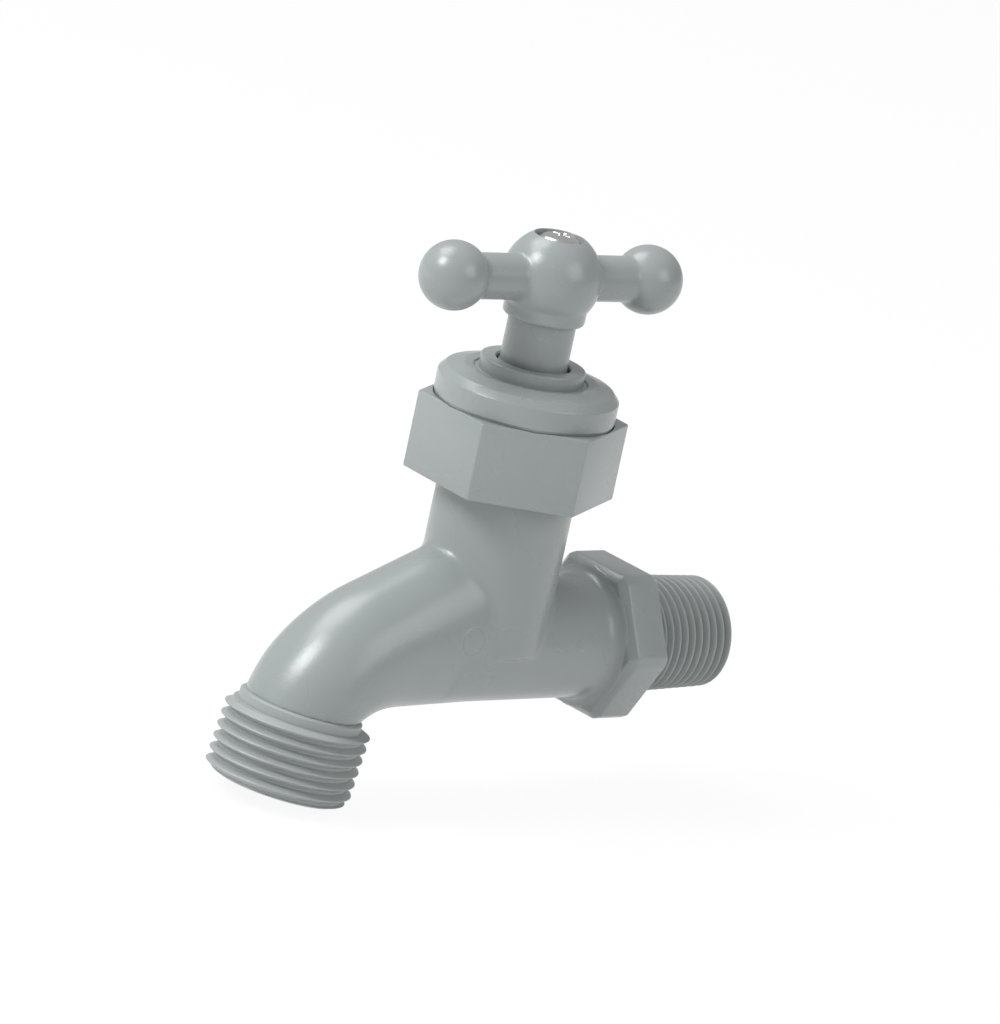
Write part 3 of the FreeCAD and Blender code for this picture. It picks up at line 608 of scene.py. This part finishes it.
bonnet = move(turned("bonnet_moulding", [(NUT_FLATS / math.sqrt(3), NUT_LOW),
                                         (NUT_FLATS / math.sqrt(3), NUT_TOP)], sides=6),
              turn=(0, 0, NUT_ANGLE - 30))
bevel_uprights(bonnet, "OFFSET", NUT_CORNER_R * math.tan(math.radians(30)), 3)
finish_with(bonnet, "BEVEL", width=NUT_EDGE * MM, segments=3, limit_method="ANGLE",
            angle_limit=math.radians(40))
carve(bonnet, turned("dome", eased([
    (DOME_R - 0.8, NUT_LOW + 4, 0), (DOME_R, NUT_LOW + 4, 0), (DOME_R, DOME_WALL_TOP, 0.5),
    (15.35, 49.75, 0.9), (12.2, 50.62, 1.6), (10.5, 50.4, 0.15), (10.35, 50.1, 0.1),
    (COLLAR_R, 50.0, 0.15), (COLLAR_R, COLLAR_TOP, 0.3), (COLLAR_R - 1, COLLAR_TOP, 0)])), "UNION")
carve(bonnet, turned("crevice", [(16.3, 43.45), (16.7, 44.05), (16.7, 44.45), (16.53, 44.85),
                                 (16.42, 44.31)], closed=True))
carve(bonnet, turned("skirt_bore", [(SKIRT_BORE_R, NUT_LOW - 1), (SKIRT_BORE_R, ROOF)]))
carve(bonnet, turned("sleeve", [(SLEEVE_R, SLEEVE_LOW), (SLEEVE_R, ROOF + 1.3)]), "UNION")
carve(bonnet, turned("stem_way", [
    (LEAD_BORE_R, SLEEVE_LOW - 1), (LEAD_BORE_R, SEAL_BORE_LOW), (SEAL_BORE_R, SEAL_BORE_LOW),
    (SEAL_BORE_R, OPENING_LOW), (OPENING_R, OPENING_LOW), (OPENING_R, COLLAR_TOP - 0.25),
    (OPENING_R + 0.3, COLLAR_TOP + 0.05), (OPENING_R + 0.3, COLLAR_TOP + 1)]))
move(bonnet, shift=(0, STEM_Y, 0))
dressed(bonnet, grey_plastic, "bonnet", "tap_body", 30)


# Stem: moulded in the same grey plastic, turned smooth where it passes the two black O-rings.
# Under it hang the off-white washer holder, the rubber seat washer and its brass screw.

black_rubber = plastic("black_rubber", (0.022, 0.022, 0.022, 1), (0.014, 0.014, 0.014, 1),
                       0.55, 1.5)
white_plastic = plastic("white_plastic", (0.76, 0.75, 0.71, 1), (0.70, 0.69, 0.64, 1), 0.34, 0.8)


def turned_metal_group():
    """Node group: fine turning marks, with a little drift in colour and polish."""
    group, given, result = skin_group("turned_metal", (
        ("Light", "Color"), ("Dark", "Color"), ("Roughness", "Float")))
    nodes, links = group.nodes, group.links
    place = nodes.new("ShaderNodeTexCoord")
    stretch = nodes.new("ShaderNodeMapping")
    stretch.inputs["Scale"].default_value = (400, 400, 9000)
    marks = nodes.new("ShaderNodeTexNoise")
    marks.inputs["Scale"].default_value = 1
    marks.inputs["Detail"].default_value = 3
    colour = nodes.new("ShaderNodeMix")
    colour.data_type = "RGBA"
    polish = maths(nodes, "MULTIPLY_ADD", 0.14)
    links.new(place.outputs["Object"], stretch.inputs["Vector"])
    links.new(stretch.outputs["Vector"], marks.inputs["Vector"])
    links.new(marks.outputs["Fac"], colour.inputs["Factor"])
    links.new(given.outputs["Light"], colour.inputs["A"])
    links.new(given.outputs["Dark"], colour.inputs["B"])
    links.new(colour.outputs["Result"], result.inputs["Color"])
    links.new(marks.outputs["Fac"], polish.inputs[0])
    links.new(given.outputs["Roughness"], polish.inputs[2])
    links.new(polish.outputs["Value"], result.inputs["Roughness"])
    links.new(marks.outputs["Fac"], result.inputs["Height"])
    return group


turned_metal = turned_metal_group()


def metal(name, light, dark, roughness):
    """Bright metal with turning marks, in its own colours and polish."""
    material = skinned(name, turned_metal, 0.01, {"Light": light, "Dark": dark,
                                                  "Roughness": roughness})
    material.node_tree.nodes["Principled BSDF"].inputs["Metallic"].default_value = 1
    return material


brass = metal("brass", (0.76, 0.55, 0.24, 1), (0.62, 0.42, 0.16, 1), 0.26)
bright_steel = metal("bright_steel", (0.80, 0.80, 0.79, 1), (0.58, 0.58, 0.57, 1), 0.14)

for node, material in (("stem", grey_plastic), ("bonnet_gasket", black_rubber),
                       ("stem_oring_lower", black_rubber), ("stem_oring_upper", black_rubber),
                       ("seat_washer", black_rubber), ("washer_holder", white_plastic),
                       ("washer_screw", brass), ("lock_washer", bright_steel)):
    for slot in frame["nodes"][node].material_slots:
        slot.material = material


# Handle: one moulding with a round hub on a short skirt, two straight arms and a ball at each
# end. It sits on the stem's square drive, and its screw lies in a cup in the top of the hub.

HANDLE_LEVEL = 68.6
HANDLE_ANGLE = 86.3
HUB_R = 9.05
SKIRT_R = 7.5
SKIRT_LOW = 61.0
ARM_R = 4.2
BALL_R = 6.35
BALL_REACH = 21.9
CUP_R = 4.6
CUP_LEVEL = 73.7
CUP_BEVEL = 76.2
SCREW_WAY_R = 2.2
DRIVE_SIDE = 7.3
DRIVE_TOP = 70.4
HANDLE_VOXEL = 0.28


def ball(name, radius, reach):
    """Sphere at the end of an arm, its poles along the arm."""
    bpy.ops.object.select_all(action="DESELECT")
    bpy.ops.mesh.primitive_uv_sphere_add(segments=96, ring_count=64, radius=radius * MM)
    sphere = bpy.context.object
    sphere.name = name
    return move(move(sphere, turn=(0, 90, 0)), shift=(reach, 0, HANDLE_LEVEL))


handle = ball("handle_moulding", HUB_R, 0)
hub_wall = wall_of(handle)
carve(handle, turned("under_hub", [(HUB_R + 1, SKIRT_LOW - 3), (HUB_R + 1, SKIRT_LOW + 0.5)]))
skirt = turned("skirt", eased([(SKIRT_R - 1, SKIRT_LOW, 0), (SKIRT_R, SKIRT_LOW, 0.6),
                               (SKIRT_R, HANDLE_LEVEL, 0)]))
arms = move(move(turned("arms", [(ARM_R, -BALL_REACH), (ARM_R, BALL_REACH)]), turn=(0, 90, 0)),
            shift=(0, 0, HANDLE_LEVEL))
arm_wall = wall_of(arms)
ends = [ball("ball_end", BALL_R, reach) for reach in (-BALL_REACH, BALL_REACH)]
end_walls = [wall_of(end) for end in ends]
fused([handle, skirt, arms] + ends, HANDLE_VOXEL)
finish_with(handle, "SMOOTH", factor=0.5, iterations=4)
for wall in [hub_wall] + end_walls:
    soften(handle, (arm_wall, wall), 1.0, 8, lambda p: True)
carve(handle, turned("cup", eased([(CUP_R - 1, CUP_LEVEL, 0), (CUP_R, CUP_LEVEL, 0.3),
                                   (CUP_R, CUP_BEVEL, 0.3), (CUP_R + 0.8, CUP_BEVEL + 1, 0),
                                   (CUP_R + 0.8, 79, 0)], 4)))
carve(handle, turned("screw_way", [(SCREW_WAY_R, DRIVE_TOP - 1), (SCREW_WAY_R, CUP_LEVEL + 1)]))
move(handle, turn=(0, 0, HANDLE_ANGLE))
carve(handle, move(turned("drive_socket", [(DRIVE_SIDE / math.sqrt(2), SKIRT_LOW - 1),
                                           (DRIVE_SIDE / math.sqrt(2), DRIVE_TOP + 0.3)], sides=4),
                   turn=(0, 0, HANDLE_ANGLE - 45)))
move(handle, shift=(0, STEM_Y, 0))
dressed(handle, grey_plastic, "handle", "turning_stem", 40)


# Handle screw: bright plated pan head with a cross recess, over a plain lock washer.

SCREW_SEAT = 74.6
HEAD_R = 3.9
HEAD_HEIGHT = 2.1
SHANK_R = 2.0
SHANK_LENGTH = 12.5
CROSS_ANGLE = 20

screw = turned("cross_head_screw", eased([
    (SHANK_R - 0.8, SCREW_SEAT - SHANK_LENGTH, 0), (SHANK_R, SCREW_SEAT - SHANK_LENGTH + 1.5, 0),
    (SHANK_R, SCREW_SEAT, 0.15), (HEAD_R, SCREW_SEAT, 0.1), (HEAD_R, SCREW_SEAT + 0.9, 0.5),
    (3.0, SCREW_SEAT + 1.65, 1.2), (1.6, SCREW_SEAT + HEAD_HEIGHT, 1.5),
    (0.4, SCREW_SEAT + HEAD_HEIGHT, 0)], 6), sides=64)
for angle in (0, 90):
    bpy.ops.object.select_all(action="DESELECT")
    bpy.ops.mesh.primitive_cone_add(vertices=4, radius1=0.75 * MM, radius2=3.5 * MM,
                                    depth=2.2 * MM, rotation=(0, 0, math.radians(45)))
    wing = bpy.context.object
    bpy.ops.object.transform_apply(location=True, rotation=True, scale=True)
    wing.scale = (1, 0.2, 1)
    bpy.ops.object.transform_apply(location=True, rotation=True, scale=True)
    move(wing, turn=(0, 0, angle + CROSS_ANGLE),
         shift=(0, 0, SCREW_SEAT + HEAD_HEIGHT - 0.35))
    carve(screw, wing)
finish_with(screw, "BEVEL", width=0.07 * MM, segments=2, limit_method="ANGLE",
            angle_limit=math.radians(40))
move(screw, shift=(0, STEM_Y, 0))
dressed(screw, bright_steel, "handle_screw", "turning_stem", 40)


# Photograph's stand: a plain pale floor under the nose of the spout, soft light from the upper
# left and from above, a weaker one from the right, and the camera at the photograph's angle.

FLOOR_LEVEL = -28.5
FLOOR_WHITE_SHARE = 0.93
ROOM_LIGHT = 0.46
CAMERA_PLACE = Vector((1152.898, -1100.031, 447.196))
CAMERA_RIGHT = Vector((0.62334269, 0.75527621, 0.20248884))
CAMERA_UP = Vector((-0.32919737, 0.01858589, 0.9440782))
CAMERA_BACK = Vector((0.70927638, -0.65514304, 0.26022032))
LENS = 325.4

bpy.ops.object.select_all(action="DESELECT")
bpy.ops.mesh.primitive_plane_add(size=8)
floor = move(bpy.context.object, shift=(0, 0, FLOOR_LEVEL))
floor.name = "floor"
pale = bpy.data.materials.new("pale_floor")
pale.use_nodes = True
nodes, links = pale.node_tree.nodes, pale.node_tree.links
nodes["Principled BSDF"].inputs["Base Color"].default_value = (0.90, 0.90, 0.90, 1)
nodes["Principled BSDF"].inputs["Roughness"].default_value = 0.9
path = nodes.new("ShaderNodeLightPath")
seen = maths(nodes, "MAXIMUM")
seen_through = maths(nodes, "MAXIMUM")
share = maths(nodes, "MULTIPLY", FLOOR_WHITE_SHARE)
white = nodes.new("ShaderNodeEmission")
mix = nodes.new("ShaderNodeMixShader")
links.new(path.outputs["Is Camera Ray"], seen.inputs[0])
links.new(path.outputs["Is Glossy Ray"], seen.inputs[1])
links.new(seen.outputs["Value"], seen_through.inputs[0])
links.new(path.outputs["Is Transmission Ray"], seen_through.inputs[1])
links.new(seen_through.outputs["Value"], share.inputs[0])
links.new(share.outputs["Value"], mix.inputs["Fac"])
links.new(nodes["Principled BSDF"].outputs["BSDF"], mix.inputs[1])
links.new(white.outputs["Emission"], mix.inputs[2])
links.new(mix.outputs["Shader"], nodes["Material Output"].inputs["Surface"])
floor.data.materials.append(pale)

world = bpy.data.worlds.new("studio")
world.use_nodes = True
bpy.context.scene.world = world
nodes, links = world.node_tree.nodes, world.node_tree.links
path = nodes.new("ShaderNodeLightPath")
seen = maths(nodes, "MAXIMUM")
strength = nodes.new("ShaderNodeMapRange")
strength.inputs["To Min"].default_value = ROOM_LIGHT
strength.inputs["To Max"].default_value = 1.0
nodes["Background"].inputs["Color"].default_value = (1, 1, 1, 1)
links.new(path.outputs["Is Camera Ray"], seen.inputs[0])
links.new(path.outputs["Is Transmission Ray"], seen.inputs[1])
links.new(seen.outputs["Value"], strength.inputs["Value"])
links.new(strength.outputs["Result"], nodes["Background"].inputs["Strength"])


def soft_lamp(name, size, power, right, up, back):
    """Square lamp placed from the object by the camera's own directions, in metres."""
    aim = Vector((0, -0.040, 0.022))
    place = aim + CAMERA_RIGHT * right + CAMERA_UP * up + CAMERA_BACK * back
    bpy.ops.object.light_add(type="AREA", location=place)
    lamp = bpy.context.object
    lamp.name = name
    lamp.data.size = size
    lamp.data.energy = power
    lamp.rotation_euler = (place - aim).to_track_quat("Z", "Y").to_euler()


soft_lamp("key_light", 0.32, 6.0, -0.45, 0.62, 0.45)
soft_lamp("side_light", 0.50, 2.2, 0.75, 0.20, 0.50)
soft_lamp("top_light", 0.50, 4.6, -0.25, 0.90, 0.05)

bpy.ops.object.camera_add(location=CAMERA_PLACE * MM)
camera = bpy.context.object
camera.data.sensor_fit = "HORIZONTAL"
camera.data.sensor_width = 36
camera.data.lens = LENS
camera.rotation_euler = Matrix((CAMERA_RIGHT, CAMERA_UP, CAMERA_BACK)).transposed().to_euler()
bpy.context.scene.camera = camera
bpy.context.scene.view_settings.view_transform = "Standard"
